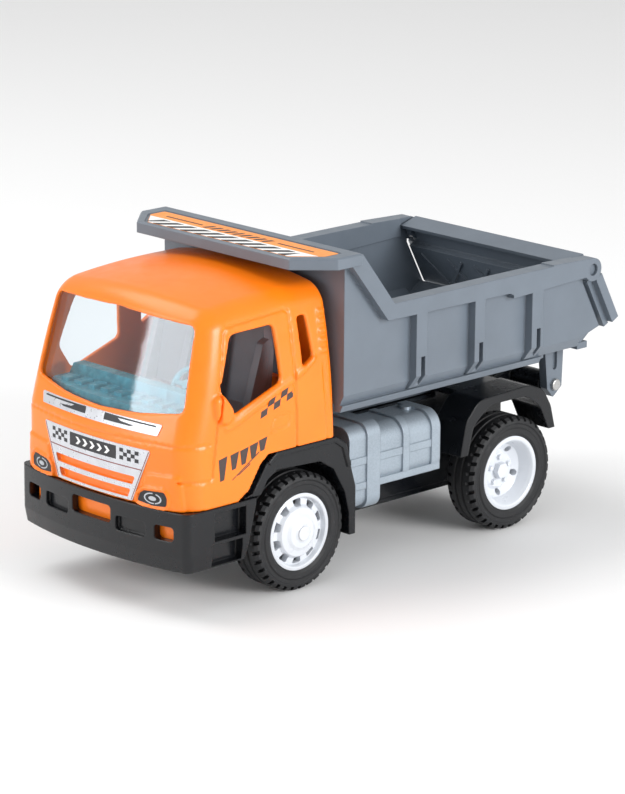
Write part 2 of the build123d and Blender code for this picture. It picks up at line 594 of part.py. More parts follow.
def motor_case(side):
    """One half of the friction motor's case; the halves meet on the middle plane."""
    outline = [(28.4, 20.0), (32.0, 14.0), (46.0, CHASSIS_BOTTOM + 0.1), (57.0, CHASSIS_BOTTOM + 0.1), (57.4, 26.0),
               (46.0, 33.6), (32.0, 33.6), (28.4, 28.0)]
    outer = side_solid(polygon(outline, 1.5), 0, MOTOR_HALF)
    inner_face = offset(polygon(outline, 1.5), -MOTOR_WALL)
    half = outer - side_solid(inner_face, -1, MOTOR_HALF - MOTOR_WALL)
    if side == "right":
        half = mirrored(half)
    half -= rod(REAR_AXLE, AXLE_R + RUN, -10, 10)
    half -= rod(FLYWHEEL, SHAFT_R + RUN, -10, 10)
    if side == "left":
        half -= rod(IDLER, SHAFT_R, 0, 10)
    return half


# ---------------------------------------------------------------- dump bed and tailgate
GATE_TOP, GATE_BOTTOM = (76.9, 75.4), (85.1, 60.3)   # rear edge of the bed's side walls
GATE_LEAN = math.atan2(GATE_BOTTOM[0] - GATE_TOP[0], GATE_TOP[1] - GATE_BOTTOM[1])
GATE_LENGTH = math.dist(GATE_TOP, GATE_BOTTOM)
GATE_TOP_HALF = 36.8                                   # half width of the gate between the rims
GATE_INNER_HALF = BED_WALL_X - BED_WALL - CLEAR        # half width of the panel between the walls
SLOPE_LOW, SLOPE_HIGH = (-9.2, 83.6), (-22.6, 100.6)   # inner edge of the sloping front rim
RIB_SPOTS = [(0.2, 4.8), (25.4, 29.8), (50.8, 55.8)]


def bed_side():
    """Left wall of the bed with its rim, ribs, hinge ear and hinge bracket."""
    wall_outline = [(BED_FRONT_Y, BED_FLOOR_Z0 + 3.1), (76.6, BED_FLOOR_Z0 + 3.1), GATE_BOTTOM, GATE_TOP,
                    (76.9, 82.0), SLOPE_LOW, SLOPE_HIGH, (BED_FRONT_Y, CANOPY_Z1 - 1)]
    wall = side_solid(polygon(wall_outline), BED_WALL_X - BED_WALL, BED_WALL_X)
    chamfer_view = polygon([(BED_WALL_X - BED_WALL, 60.0), (BED_WALL_X, 57.8), (38.0, BED_FLOOR_Z0),
                            (34.0, BED_FLOOR_Z0), (34.0, BED_FLOOR_Z1)])
    wall += front_solid(chamfer_view, BED_FRONT_Y, 76.6)
    wall += block(35.6, 38.0, BED_FRONT_Y, 59.2, 52.5, BED_FLOOR_Z0)
    wall += front_solid(polygon([(38.0, 52.5), (38.0, BED_FLOOR_Z0), (39.2, BED_FLOOR_Z0)]), BED_FRONT_Y, 59.2)
    rim_outline = [SLOPE_LOW, (44.0, 83.8), (60.1, 83.8), (60.1, RIM_Z1 + 0.2), (TAIL_HINGE[0], TAIL_HINGE[1] + EAR_R),
                   (TAIL_HINGE[0], TAIL_HINGE[1] - 1.9), (42.4, 76.6), (42.4, 77.6), (40.6, RIM_Z0),
                   (-11.8, RIM_Z0 + 0.4), (-26.9, CANOPY_Z0 - 0.2), (BED_FRONT_Y - 4, CANOPY_Z0),
                   (BED_FRONT_Y - 4, CANOPY_Z1), SLOPE_HIGH]
    wall += side_solid(polygon(rim_outline), BED_WALL_X - BED_WALL - 0.6, BED_RIM_X)
    wall += rod(TAIL_HINGE, EAR_R, BED_WALL_X - 1.6, BED_RIM_X)
    for y0, y1 in RIB_SPOTS:
        top = 77.0 if y0 > 42 else RIM_Z0
        rib_view = polygon([(BED_WALL_X - 0.6, top + 0.5), (BED_RIM_X, top + 0.5), (BED_RIM_X, 59.4),
                            (BED_WALL_X - 0.4, 55.2), (38.0, BED_FLOOR_Z0), (BED_WALL_X - 0.6, 58.6)])
        rib = front_solid(rib_view, y0, y1)
        middle = (y0 + y1) / 2
        wall += rib
        wall -= block(BED_WALL_X, BED_RIM_X + 1, middle - 0.2, middle + 1.5, 54.0, 65.2)
    wall += hinge_bracket()
    return wall


def hinge_bracket():
    """Left hanger under the bed that carries the tilt pin."""
    y, z = TILT_PIN
    plate = polygon([(y - 5.0, BED_FLOOR_Z0 + 1), (y - 3.2, z - 1.0), (y - 0.6, z - 4.2), (y + 3.4, z - 1.0),
                     (y + 4.0, BED_FLOOR_Z0 + 1)], 0.6)
    hanger = side_solid(plate, 27.0, 30.0)
    slot = Pos(y, 49.4) * SlotOverall(7.2, 2.0, rotation=90)
    hanger -= side_solid(slot, 29.0, 31.0)
    brace = block(27.0, 38.0, y + 1.4, y + 6.0, 53.6, BED_FLOOR_Z0 + 1)
    return hanger + brace - rod(TILT_PIN, TILT_PIN_R, 26, 31)


def canopy():
    """Cab guard that reaches forward over the roof, with a raised lip round its label field."""
    outline = [(-33.5, -44.0), (33.5, -44.0), (43.4, -33.6), (43.4, -23.4), (-43.4, -23.4), (-43.4, -33.6)]
    plate = plan_solid(polygon(outline, 0.8), CANOPY_Z0, CANOPY_Z1)
    return chamfer(plate.faces().sort_by(Axis.Z)[-1].edges(), 0.5)


def label_field():
    """Shallow recess in the canopy for its label."""
    outline = [(-31.6, -42.6), (31.6, -42.6), (39.0, -34.6), (39.0, -27.6), (-39.0, -27.6), (-39.0, -34.6)]
    return plan_solid(polygon(outline, 0.6), CANOPY_Z1 - 0.4, CANOPY_Z1 + 1)


def dump_bed():
    """Grey tipping body: floor, front wall, side walls, canopy and underside beams."""
    inner = BED_WALL_X - BED_WALL
    bed = block(-inner, inner, BED_FRONT_Y, 76.6, BED_FLOOR_Z0, BED_FLOOR_Z1)
    bed += front_solid(polygon([(-inner, BED_FLOOR_Z0), (inner, BED_FLOOR_Z0), (inner, CANOPY_Z0 + 1),
                                (-inner, CANOPY_Z0 + 1)]), BED_FRONT_Y, BED_FRONT_Y + 1.8)
    tail_outline = [(76.0, BED_FLOOR_Z0), (77.6, BED_FLOOR_Z0), (GATE_BOTTOM[0] - 0.6, GATE_BOTTOM[1] - 0.4),
                    (GATE_BOTTOM[0] - 1.6, GATE_BOTTOM[1] + 1.2), (76.0, BED_FLOOR_Z1)]
    bed += side_solid(polygon(tail_outline), -inner, inner)
    bed += canopy()
    bed += both_sides(bed_side())
    bed += both_sides(block(8.0, 10.0, -20, 64, DECK_Z1 + CLEAR, BED_FLOOR_Z0))
    for y in (-18, 10, 38, 62):
        bed += block(-35.6, 35.6, y, y + 1.8, 52.7, BED_FLOOR_Z0)
    holes = rod(TAIL_HINGE, TAIL_PEG_R + RUN, BED_WALL_X - 3, BED_RIM_X + 1)
    slide = block(0, BED_WALL_X - 1.7, TAIL_HINGE[0] - 5, 100, 77.0, 90)
    return bed - both_sides(holes) - both_sides(slide) - label_field()


def canopy_sticker():
    """Printed foil on the canopy."""
    outline = [(-30.8, -42.0), (30.8, -42.0), (38.2, -34.2), (38.2, -28.4), (-38.2, -28.4), (-38.2, -34.2)]
    return plan_solid(polygon(outline, 0.5), CANOPY_Z1 - 0.4, CANOPY_Z1 - 0.15)


def along_gate(point, down, out):
    """Point (y, z) moved down along the tailgate's slope and outward from it."""
    y = point[0] + down * math.sin(GATE_LEAN) + out * math.cos(GATE_LEAN)
    z = point[1] - down * math.cos(GATE_LEAN) + out * math.sin(GATE_LEAN)
    return (y, z)


def gate_box(x0, x1, down0, down1, out0, out1):
    """Block laid along the tailgate, measured from the top of the walls' rear edge."""
    corners = [(down0, out0), (down1, out0), (down1, out1), (down0, out1)]
    face = polygon([along_gate(GATE_TOP, down, out) for down, out in corners])
    return side_solid(face, x0, x1)


def gate_ribs():
    """Raised V ribs on the inner face of the tailgate."""
    inward = Plane(origin=(0, *along_gate(GATE_TOP, GATE_LENGTH / 2 + 0.6, 0.25)), x_dir=(1, 0, 0),
                   z_dir=(0, -math.cos(GATE_LEAN), -math.sin(GATE_LEAN)))
    ribs = []
    for centre in (-24, -12, 0, 12, 24):
        for side in (-1, 1):
            bar = Pos(centre + side * 5.0, 0) * Rot(0, 0, side * 52) * Rectangle(13.5, 0.9)
            ribs.append(extrude(inward * bar, 0.6))
    return ribs


def tailgate():
    """Swinging gate: panel with V ribs inside, end ridges outside, top flange and two pegs."""
    gate = gate_box(-39.4, 39.4, 1.0, GATE_LENGTH + 2.0, 1.9, 4.0)
    gate += gate_box(-GATE_INNER_HALF, GATE_INNER_HALF, 1.5, GATE_LENGTH - 1.0, 0.2, 2.0)
    gate += gate_box(-GATE_TOP_HALF, GATE_TOP_HALF, -6.2, 1.2, 2.2, 4.0)
    flange = [along_gate(GATE_TOP, down, out) for down, out in ((-7.4, -0.4), (-6.0, 6.6), (-4.6, 6.6), (-6.0, -0.4))]
    gate += side_solid(polygon(flange), -GATE_TOP_HALF, GATE_TOP_HALF)
    gate += both_sides(gate_box(36.4, 41.6, 1.0, GATE_LENGTH + 1.2, 3.9, 7.0))
    gate += both_sides(rod(TAIL_HINGE, 2.9, GATE_TOP_HALF - 2.0, GATE_TOP_HALF))
    gate += both_sides(rod(TAIL_HINGE, TAIL_PEG_R, GATE_TOP_HALF - 1.0, BED_RIM_X - 1.0))
    for rib in gate_ribs():
        gate += rib
    return gate


def tilt_pin():
    """Steel pin with round heads, pressed in the bed's hangers and turning in the chassis tube."""
    pin = rod(TILT_PIN, TILT_PIN_R, -30.6, 30.6)
    head = rod(TILT_PIN, 1.9, 30.0, 31.2)
    return pin + both_sides(fillet(head.edges().sort_by(Axis.X)[-1], 0.5))


# ---------------------------------------------------------------- write the parts
def main():
    one_tyre, one_front_rim, one_rear_rim = tyre(), front_rim(), rear_rim()
    parts = {
        "chassis_frame": chassis_frame(),
        "base_plate": base_plate(),
        "base_screws": base_screws(),
        "cab_shell": cab_shell(),
        "windshield": windshield(),
        "dashboard": dashboard(),
        "seats": seats(),
        "grille_sticker": grille_sticker(),
        "nose_sticker": nose_sticker(),
        "headlight_left": headlight(),
        "headlight_right": mirrored(headlight()),
        "front_bumper": front_bumper(),
        "front_fender_left": front_fender(),
        "front_fender_right": mirrored(front_fender()),
        "rear_fender_left": rear_fender(),
        "rear_fender_right": mirrored(rear_fender()),
        "tank_set_left": tank_set(),
        "tank_set_right": mirrored(tank_set()),
        "front_axle": rod(FRONT_AXLE, AXLE_R, -36.2, 36.2),
        "rear_axle": rod(REAR_AXLE, AXLE_R, -31.2, 31.2),
        "axle_gear": axle_gear(),
        "idler_gear": idler_gear(),
        "idler_pin": idler_pin(),
        "flywheel": flywheel(),
        "motor_case_left": motor_case("left"),
        "motor_case_right": motor_case("right"),
        "dump_bed": dump_bed(),
        "canopy_sticker": canopy_sticker(),
        "tailgate": tailgate(),
        "tilt_pin": tilt_pin(),
    }
    for side in ("left", "right"):
        parts[f"front_tyre_{side}"] = placed(one_tyre, FRONT_AXLE, side)
        parts[f"rear_tyre_{side}"] = placed(one_tyre, REAR_AXLE, side)
        parts[f"front_rim_{side}"] = placed(one_front_rim, FRONT_AXLE, side)
        parts[f"rear_rim_{side}"] = placed(one_rear_rim, REAR_AXLE, side)
    os.makedirs("parts", exist_ok=True)
    for name, shape in parts.items():
        solids = shape if isinstance(shape, list) else [shape]
        export_step(Compound(children=[item for solid in solids for item in solid.solids()]), f"parts/{name}.step")


main()
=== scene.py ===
"""Toy dump truck: materials, moulded cab, prints, floor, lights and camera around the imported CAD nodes."""
import math

import bmesh
import bpy
import numpy as np
from mathutils import Matrix, Vector
from mathutils.bvhtree import BVHTree


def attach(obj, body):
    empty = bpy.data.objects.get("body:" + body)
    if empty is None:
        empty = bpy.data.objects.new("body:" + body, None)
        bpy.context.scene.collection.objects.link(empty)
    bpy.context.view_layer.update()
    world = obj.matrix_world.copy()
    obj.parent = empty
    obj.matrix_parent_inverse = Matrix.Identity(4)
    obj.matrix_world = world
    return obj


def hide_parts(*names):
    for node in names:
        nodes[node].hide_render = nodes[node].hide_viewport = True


MM = 0.001

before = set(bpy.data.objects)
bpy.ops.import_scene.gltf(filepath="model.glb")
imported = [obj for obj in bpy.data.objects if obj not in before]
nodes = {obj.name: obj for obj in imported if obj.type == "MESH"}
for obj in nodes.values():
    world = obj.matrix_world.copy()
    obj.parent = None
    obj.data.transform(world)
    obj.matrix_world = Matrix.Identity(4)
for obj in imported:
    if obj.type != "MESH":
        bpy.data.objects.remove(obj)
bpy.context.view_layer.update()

# ---------------------------------------------------------------- colours (linear RGB)


def srgb(red, green, blue):
    """Linear colour from 0-255 display values."""
    def channel(value):
        value /= 255.0
        return value / 12.92 if value <= 0.04045 else ((value + 0.055) / 1.055) ** 2.4
    return (channel(red), channel(green), channel(blue), 1.0)


def shade(colour, factor):
    """The colour made darker or lighter."""
    return tuple(min(1.0, channel * factor) for channel in colour[:3]) + (1.0,)


ORANGE = srgb(255, 124, 8)
BED_GREY = srgb(100, 109, 119)
BLACK_PLASTIC = srgb(13, 15, 19)
TANK_SILVER = srgb(150, 161, 171)
RUBBER = srgb(17, 18, 21)
RIM_WHITE = srgb(208, 212, 218)
SEAT_GREY = srgb(112, 112, 118)
DASH_CYAN = srgb(96, 190, 206)
FOIL = srgb(205, 207, 212)
INK = srgb(38, 38, 42)
DOOR_INK = srgb(62, 50, 48)
STEEL = srgb(190, 190, 188)
LABEL_ORANGE = srgb(250, 150, 60)
PRINT_WHITE = srgb(240, 240, 238)
LINE_RED = srgb(122, 52, 50)
LENS_BLACK = srgb(24, 24, 28)
CHROME = srgb(190, 194, 200)
GEAR_CREAM = srgb(225, 222, 210)
DUST_GREY = srgb(120, 120, 124)
CLEAR_TINT = (0.93, 0.965, 0.985, 1.0)
PALE_BLUE = (0.93, 0.96, 1.0, 1.0)


# ---------------------------------------------------------------- node helpers
class Graph:
    """Small wrapper that builds one node material."""

    def __init__(self, name):
        self.material = bpy.data.materials.new(name)
        self.material.use_nodes = True
        self.tree = self.material.node_tree
        self.tree.nodes.clear()
        self.output = self.tree.nodes.new("ShaderNodeOutputMaterial")
        self.coords = self.add("ShaderNodeTexCoord").outputs["Object"]

    def add(self, kind, inputs=None, **settings):
        """New node; an input that is a socket is linked, any other value is set."""
        node = self.tree.nodes.new(kind)
        for key, value in settings.items():
            setattr(node, key, value)
        for key, value in (inputs or {}).items():
            if isinstance(value, bpy.types.NodeSocket):
                self.tree.links.new(value, node.inputs[key])
            else:
                node.inputs[key].default_value = value
        return node

    def noise(self, size_mm, detail=2.0, roughness=0.5):
        """Noise whose features are about size_mm across."""
        values = {"Vector": self.coords, "Scale": 1.0 / (size_mm * MM), "Detail": detail}
        return self.add("ShaderNodeTexNoise", {**values, "Roughness": roughness}).outputs["Fac"]

    def spread(self, value, low, high, start=0.3, end=0.7):
        """Value carried from start..end to low..high."""
        values = {"Value": value, "From Min": start, "From Max": end, "To Min": low, "To Max": high}
        return self.add("ShaderNodeMapRange", values).outputs["Result"]

    def mix(self, factor, first, second):
        """Blend of two colours."""
        node = self.add("ShaderNodeMix", data_type="RGBA")
        self.tree.links.new(factor, node.inputs["Factor"])
        for socket, value in ((node.inputs[6], first), (node.inputs[7], second)):
            if isinstance(value, bpy.types.NodeSocket):
                self.tree.links.new(value, socket)
            else:
                socket.default_value = value
        return node.outputs[2]

    def times(self, first, second):
        """Product of two values."""
        return self.add("ShaderNodeMath", {0: first, 1: second}, operation="MULTIPLY").outputs[0]

    def bevel(self, radius_mm):
        """Normal that rounds the edges over."""
        return self.add("ShaderNodeBevel", {"Radius": radius_mm * MM}, samples=4).outputs["Normal"]

    def bump(self, height, strength, depth_mm, normal=None):
        """Normal disturbed by a height."""
        values = {"Height": height, "Strength": strength, "Distance": depth_mm * MM}
        if normal is not None:
            values["Normal"] = normal
        return self.add("ShaderNodeBump", values).outputs["Normal"]

    def principled(self, base, rough, normal=None, **settings):
        """Principled shader with any further sockets set by name."""
        values = {"Base Color": base, "Roughness": rough, **settings}
        if normal is not None:
            values["Normal"] = normal
        return self.add("ShaderNodeBsdfPrincipled", values).outputs["BSDF"]

    def finish(self, shader):
        """Connects the shader and returns the material."""
        self.tree.links.new(shader, self.output.inputs["Surface"])
        return self.material


def moulded(name, colour, roughness, grain_mm=0.35, grain=0.12, mottle=0.05, wear=0.25, edge_mm=0.35,
            **settings):
    """Moulded plastic: soft mottling, fine grain, rounded edges that catch light and rub paler."""
    graph = Graph(name)
    tone = graph.spread(graph.noise(14.0, 4.0), 0.0, 1.0)
    base = graph.mix(tone, shade(colour, 1.0 - mottle), shade(colour, 1.0 + mottle))
    soft = graph.bevel(edge_mm)
    hard = graph.add("ShaderNodeNewGeometry").outputs["Normal"]
    facing = graph.add("ShaderNodeVectorMath", {0: soft, 1: hard}, operation="DOT_PRODUCT").outputs["Value"]
    edge = graph.spread(facing, 1.0, 0.0, start=0.75, end=0.995)
    patches = graph.spread(graph.noise(2.2, 3.0), 0.2, 1.0)
    rubbed = graph.times(graph.times(edge, patches), wear)
    base = graph.mix(rubbed, base, shade(colour, 1.5))
    normal = graph.bump(graph.noise(grain_mm, 2.0), grain, 0.05, soft)
    rough = graph.spread(graph.noise(5.0, 3.0), roughness - 0.05, roughness + 0.06)
    return graph.finish(graph.principled(base, rough, normal, **settings))


def metal_flake(name, colour, roughness):
    """Silver plastic with the fine sparkle of flake in the resin."""
    flake_mm = 0.35
    graph = Graph(name)
    cells = graph.add("ShaderNodeTexVoronoi", {"Vector": graph.coords, "Scale": 1.0 / (flake_mm * MM)})
    sparkle = graph.spread(cells.outputs["Color"], 0.0, 1.0, start=0.2, end=0.95)
    cloud = graph.spread(graph.noise(9.0, 3.0), 0.0, 1.0)
    base = graph.mix(cloud, shade(colour, 0.92), shade(colour, 1.05))
    base = graph.mix(graph.times(sparkle, 0.35), base, shade(colour, 1.35))
    normal = graph.bump(sparkle, 0.12, 0.04, graph.bevel(0.45))
    rough = graph.spread(sparkle, roughness + 0.08, roughness - 0.08, start=0.0, end=1.0)
    return graph.finish(graph.principled(base, rough, normal, Metallic=0.45))


def rubber(name, colour):
    """Hard vinyl tyre: dull with a faint bloom and fine pitting."""
    graph = Graph(name)
    bloom = graph.spread(graph.noise(6.0, 5.0, 0.6), 0.0, 1.0, start=0.35, end=0.75)
    base = graph.mix(bloom, shade(colour, 0.8), shade(colour, 1.45))
    specks = graph.spread(graph.noise(0.5, 1.0), 0.0, 1.0, start=0.72, end=0.78)
    base = graph.mix(graph.times(specks, 0.25), base, DUST_GREY)
    normal = graph.bump(graph.noise(0.4, 3.0), 0.2, 0.06, graph.bevel(0.25))
    rough = graph.spread(graph.noise(3.0, 3.0), 0.5, 0.68)
    return graph.finish(graph.principled(base, rough, normal))


def foil(name, colour, roughness=0.3, metallic=0.55):
    """Printed foil label: slight mottling, dust specks and fine scuffs."""
    graph = Graph(name)
    cloud = graph.spread(graph.noise(4.0, 4.0), 0.0, 1.0)
    base = graph.mix(cloud, shade(colour, 0.93), shade(colour, 1.05))
    dust = graph.spread(graph.noise(0.45, 2.0), 0.0, 1.0, start=0.66, end=0.74)
    base = graph.mix(graph.times(dust, 0.4), base, shade(colour, 0.55))
    normal = graph.bump(graph.noise(1.8, 3.0), 0.15, 0.05)
    rough = graph.spread(graph.noise(1.2, 3.0), roughness - 0.06, roughness + 0.12)
    return graph.finish(graph.principled(base, rough, normal, Metallic=metallic))


def ink(name, colour):
    """Screen-printed ink, a little uneven."""
    graph = Graph(name)
    cloud = graph.spread(graph.noise(0.8, 3.0), 0.0, 1.0)
    base = graph.mix(cloud, shade(colour, 0.85), shade(colour, 1.2))
    rough = graph.spread(graph.noise(1.5, 2.0), 0.38, 0.5)
    return graph.finish(graph.principled(base, rough))


def clear_sheet(name, tint, mirror, haze):
    """Thin clear plastic: tinted see-through with a reflection that grows towards grazing angles."""
    graph = Graph(name)
    wavy = graph.bump(graph.noise(6.0, 2.0), 0.25, 0.12)
    rim = graph.add("ShaderNodeLayerWeight", {"Blend": 0.25, "Normal": wavy}).outputs["Facing"]
    share = graph.add("ShaderNodeMath", {0: rim, 1: mirror, 2: haze}, operation="MULTIPLY_ADD").outputs[0]
    through = graph.add("ShaderNodeBsdfTransparent", {"Color": tint}).outputs["BSDF"]
    gloss_values = {"Color": PALE_BLUE, "Roughness": 0.06, "Normal": wavy}
    gloss = graph.add("ShaderNodeBsdfGlossy", gloss_values).outputs["BSDF"]
    blend = graph.add("ShaderNodeMixShader", {"Fac": share, 1: through, 2: gloss})
    return graph.finish(blend.outputs["Shader"])


def translucent_plastic(name, colour, clear):
    """Coloured see-through plastic with moulded relief."""
    graph = Graph(name)
    cloud = graph.spread(graph.noise(3.0, 4.0), 0.0, 1.0)
    base = graph.mix(cloud, shade(colour, 0.6), shade(colour, 1.2))
    normal = graph.bump(graph.noise(1.6, 3.0), 0.5, 0.3)
    rough = graph.spread(graph.noise(2.5, 2.0), 0.12, 0.3)
    solid = graph.principled(base, rough, normal)
    through = graph.add("ShaderNodeBsdfTransparent", {"Color": shade(colour, 1.2)}).outputs["BSDF"]
    blend = graph.add("ShaderNodeMixShader", {"Fac": clear, 1: solid, 2: through})
    return graph.finish(blend.outputs["Shader"])


# ---------------------------------------------------------------- materials
orange = moulded("orange_plastic", ORANGE, 0.33, mottle=0.035, wear=0.15, edge_mm=0.6, grain=0.08,
                 **{"Subsurface Weight": 0.12, "Subsurface Radius": (0.0022, 0.0009, 0.0003),
                    "Coat Weight": 0.15, "Coat Roughness": 0.18})
bed_grey = moulded("grey_plastic", BED_GREY, 0.36, mottle=0.06, wear=0.3, edge_mm=0.4, grain=0.2)
black = moulded("black_plastic", BLACK_PLASTIC, 0.24, mottle=0.12, wear=0.5, edge_mm=0.7, grain=0.1,
                **{"Specular IOR Level": 0.42})
rim_white = moulded("white_plastic", RIM_WHITE, 0.3, mottle=0.02, wear=0.0, edge_mm=0.3, grain=0.05,
                    **{"Coat Weight": 0.2})
seat_grey = moulded("seat_plastic", SEAT_GREY, 0.45, grain_mm=0.9, grain=0.6, mottle=0.1, wear=0.3)
silver = metal_flake("silver_plastic", TANK_SILVER, 0.38)
tyre_rubber = rubber("tyre_vinyl", RUBBER)
steel = foil("bare_steel", STEEL, 0.28, 1.0)
foil_silver = foil("silver_foil", FOIL)
foil_orange = foil("orange_label", LABEL_ORANGE, 0.35, 0.0)
foil_white = foil("white_print", PRINT_WHITE, 0.4, 0.0)
black_ink = ink("black_ink", INK)
door_ink = ink("brown_black_ink", DOOR_INK)
line_ink = ink("red_brown_ink", LINE_RED)
glazing = clear_sheet("clear_glazing", CLEAR_TINT, 0.3, 0.02)
dash_blue = translucent_plastic("blue_clear_plastic", DASH_CYAN, 0.35)
lamp_black = ink("lamp_lens", LENS_BLACK)
chrome = foil("lamp_chrome", CHROME, 0.3, 0.8)
gear_plastic = moulded("gear_plastic", GEAR_CREAM, 0.4)

NODE_MATERIALS = {
    "cab_shell": orange, "windshield": glazing, "dashboard": dash_blue, "seats": seat_grey,
    "grille_sticker": foil_silver, "nose_sticker": foil_silver, "canopy_sticker": foil_orange,
    "dump_bed": bed_grey, "tailgate": bed_grey, "tank_set_left": silver, "tank_set_right": silver,
    "tilt_pin": steel, "front_axle": steel, "rear_axle": steel, "idler_pin": steel, "flywheel": steel,
    "base_screws": steel, "axle_gear": gear_plastic, "idler_gear": gear_plastic,
    "headlight_left": lamp_black, "headlight_right": lamp_black,
}


def material_for(name):
    """Material of a CAD node, by its name."""
    if name in NODE_MATERIALS:
        return NODE_MATERIALS[name]
    if "tyre" in name:
        return tyre_rubber
    if "rim" in name:
        return rim_white
    return black


for name, node in nodes.items():
    node.data.materials.clear()
    node.data.materials.append(material_for(name))


# ---------------------------------------------------------------- cab shell grown from distance fields
# All lengths are millimetres. Side outlines are drawn as (y, z) and front outlines as (x, z).
VOXEL = 0.45
CAB_LOW, CAB_HIGH = (-40.0, -94.0, 20.0), (40.0, -25.0, 97.0)   # corners of the sampled box
CAB_HALF, CAB_FRONT, CAB_REAR, CAB_BOTTOM = 37.0, -90.74, -28.0, 33.0
CAB_WALL = 1.6
FACE_R = 145.0               # plan radius of the face
BROW_Z, LEAN = 52.0, 0.27    # above the brow the face leans back, in millimetres for each millimetre up
LEAN_SCALE = 0.97            # turns the leaning face's offset into a true distance
FLANK_Z, FLANK_CURVE = 56.0, 0.00315    # above this height the sides curve inwards
ROOF_Z, ROOF_BREAK_Y, ROOF_CURVE = 94.6, -42.0, 0.0021    # ahead of the break the roof curves down
ROOF_CROWN, ROOF_CROWN_X = 3.6, 33.0    # the roof drops by the crown at this distance from the middle
REAR_LEAN, REAR_LEAN_TOP = 0.0536, 0.041    # lean of the back wall from 45 to 73 high, and above
FACE_EDGE_R, ROOF_EDGE_R, REAR_EDGE_R = 6.5, 5.0, 1.4
BUMPER_FRONT, APRON_BACK, APRON_HALF = -91.8, 3.6, 31.0
VENT_Y, VENT_Z, VENT_PITCH, VENT_COUNT = -32.4, 72.4, 2.85, 5
FAR = 40.0                   # added to the field of a detail wherever it must not act

SIDE_WINDOW = [(-68.3, 82.5), (-51.4, 83.0), (-49.6, 65.8), (-68.2, 59.2), (-73.6, 67.2)]
QUARTER_SLOT = [(-41.8, 83.6), (-38.5, 83.8), (-36.6, 71.0), (-40.8, 68.6)]
WHEEL_ARCH = [(-66.6, 20), (-66.6, 33.3), (-62.8, 35.6), (-58.2, 42.6), (-55.0, 45.0), (-20, 45.0),
              (-20, 20)]
MIRROR_LUG = [(-76.9, 65.6), (-73.4, 66.6), (-69.2, 62.4), (-69.6, 57.9), (-73.0, 56.9), (-76.6, 59.6)]
BELT_LINE = [(-71.6, 56.0), (-67.6, 57.0), (-49.6, 64.2), (-44.6, 65.8), (-36.6, 70.4)]
DOOR_SEAM = [(-77.2, 42.1), (-73.2, 72.0), (-71.0, 83.4), (-69.4, 84.9), (-46.6, 86.6), (-45.0, 85.4),
             (-43.5, 45.2)]
SILL_SEAM = [(-86.6, 41.6), (-77.4, 41.4)]
REAR_SEAM = [(-32.7, 68.4), (-31.2, 44.8)]
SEAMS = [(DOOR_SEAM, 0.36, 0.5), (SILL_SEAM, 0.33, 0.4), (REAR_SEAM, 0.33, 0.4)]    # line, half width, depth
HANDLE = [(-54.4, 51.4), (-47.0, 52.4), (-46.4, 56.2), (-52.8, 55.6)]
WINDSHIELD = [(-32.0, 61.6), (-16.0, 59.3), (0.0, 58.5), (16.0, 59.3), (32.0, 61.6), (30.0, 85.8),
              (0.0, 87.2), (-30.0, 85.8)]
LAMP = [(19.2, 34.4), (19.7, 36.5), (21.6, 37.8), (28.8, 38.3), (29.9, 36.6), (29.6, 34.2), (24.8, 33.7)]
LAMP_R = 0.7                 # corner radius of the lens
LAMP_FIELD = [(17.6, 30.0), (21.6, 42.4), (22.2, 42.9), (33.0, 43.6), (33.7, 43.0), (34.8, 30.0)]
GRILLE_SLOTS = [(34.4, 37.0), (38.5, 41.0)]    # bottom and top
SLOT_HALF, SLOT_Z, SLOT_SLANT = 14.6, 33.6, 0.43    # half width at a height, and its growth upwards


def rounded(points, radius, steps=5):
    """Outline with its corners replaced by short arcs."""
    result = []
    count = len(points)
    for index, corner in enumerate(points):
        here = Vector(corner)
        before = (Vector(points[index - 1]) - here).normalized()
        after = (Vector(points[(index + 1) % count]) - here).normalized()
        for step in range(steps + 1):
            t = step / steps
            start, end = here + before * radius, here + after * radius
            result.append(tuple((1 - t) ** 2 * start + 2 * t * (1 - t) * here + t * t * end))
    return result


def line_distance(points, u, v):
    """Distance from each (u, v) to a run of straight lines."""
    best = np.full(u.shape, 1e6, np.float32)
    for (u0, v0), (u1, v1) in zip(points, points[1:]):
        du, dv = u1 - u0, v1 - v0
        t = np.clip(((u - u0) * du + (v - v0) * dv) / (du * du + dv * dv), 0, 1)
        best = np.minimum(best, np.hypot(u - u0 - t * du, v - v0 - t * dv))
    return best


def area_distance(points, u, v):
    """Signed distance to a closed outline, negative inside."""
    inside = np.zeros(u.shape, bool)
    for (u0, v0), (u1, v1) in zip(points, points[1:] + points[:1]):
        if v0 == v1:
            continue
        crosses = ((v0 > v) != (v1 > v)) & (u < (u1 - u0) * (v - v0) / (v1 - v0) + u0)
        inside ^= crosses
    distance = line_distance(points + points[:1], u, v)
    return np.where(inside, -distance, distance)


def cut_round(first, second, radius):
    """Overlap of two fields, with a rounded edge where they meet."""
    both = np.hypot(np.maximum(first + radius, 0), np.maximum(second + radius, 0))
    return np.minimum(np.maximum(first, second), -radius) + both


def join_round(first, second, radius):
    """Union of two fields, with a filleted corner where they meet."""
    return -cut_round(-first, -second, radius)


